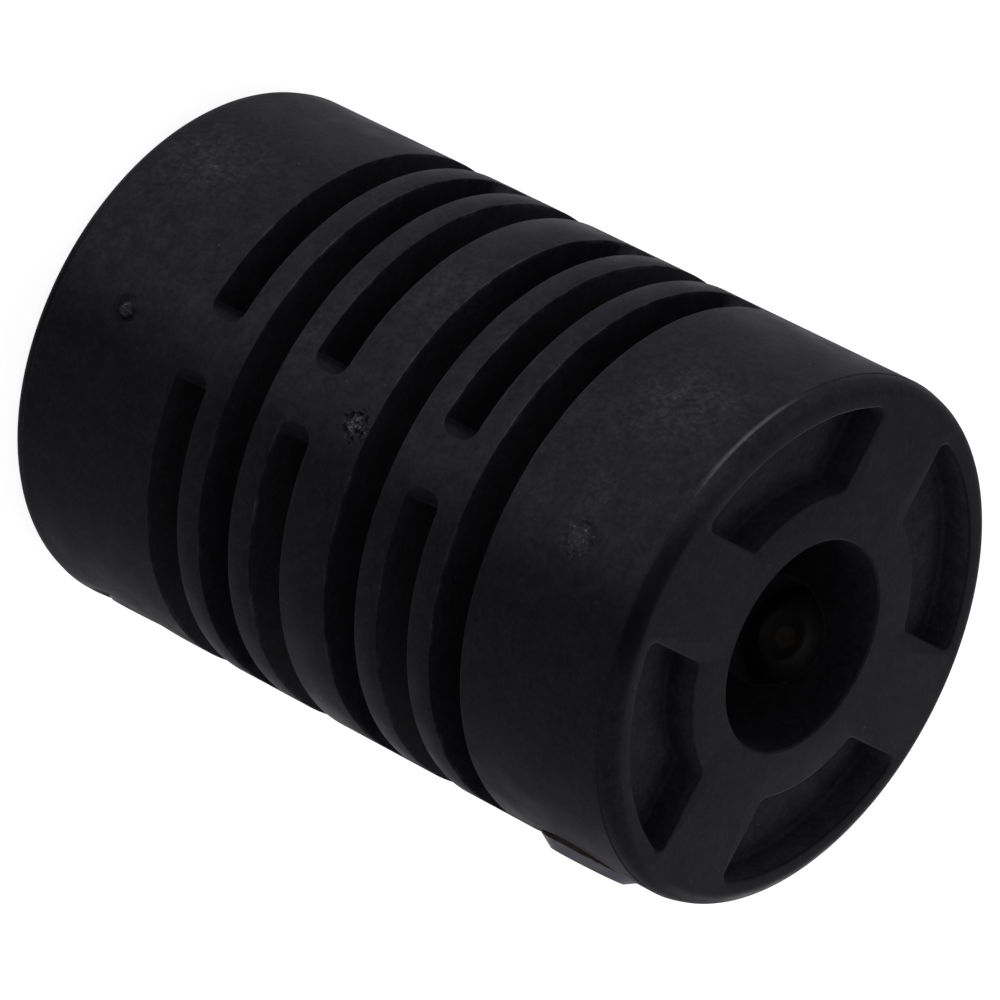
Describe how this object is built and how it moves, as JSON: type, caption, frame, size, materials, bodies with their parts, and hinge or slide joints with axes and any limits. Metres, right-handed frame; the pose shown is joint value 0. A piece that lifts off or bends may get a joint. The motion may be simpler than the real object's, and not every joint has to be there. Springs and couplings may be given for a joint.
{
  "type": "encoder shaft coupling",
  "caption": "Moulded flexible coupling for shafts: slotted plastic sleeve whose webs alternate by a quarter turn, with set-screw hubs.",
  "frame": {"origin": "centre of the lower end face, on the bore axis", "axes": "+Z along the bore axis from the lower end face to the upper; the set screws point along +X and +Y; the three gate marks face -Y"},
  "size_m": [0.0152, 0.015, 0.022],
  "materials": {
    "body": "black moulded, satin to matt",
    "screws": "plain steel"
  },
  "bodies": {
    "root": {"coupling_body": "body", "set_screw_lower_x": "screws", "set_screw_lower_y": "screws", "set_screw_upper_x": "screws", "set_screw_upper_y": "screws"}
  },
  "joints": []
}
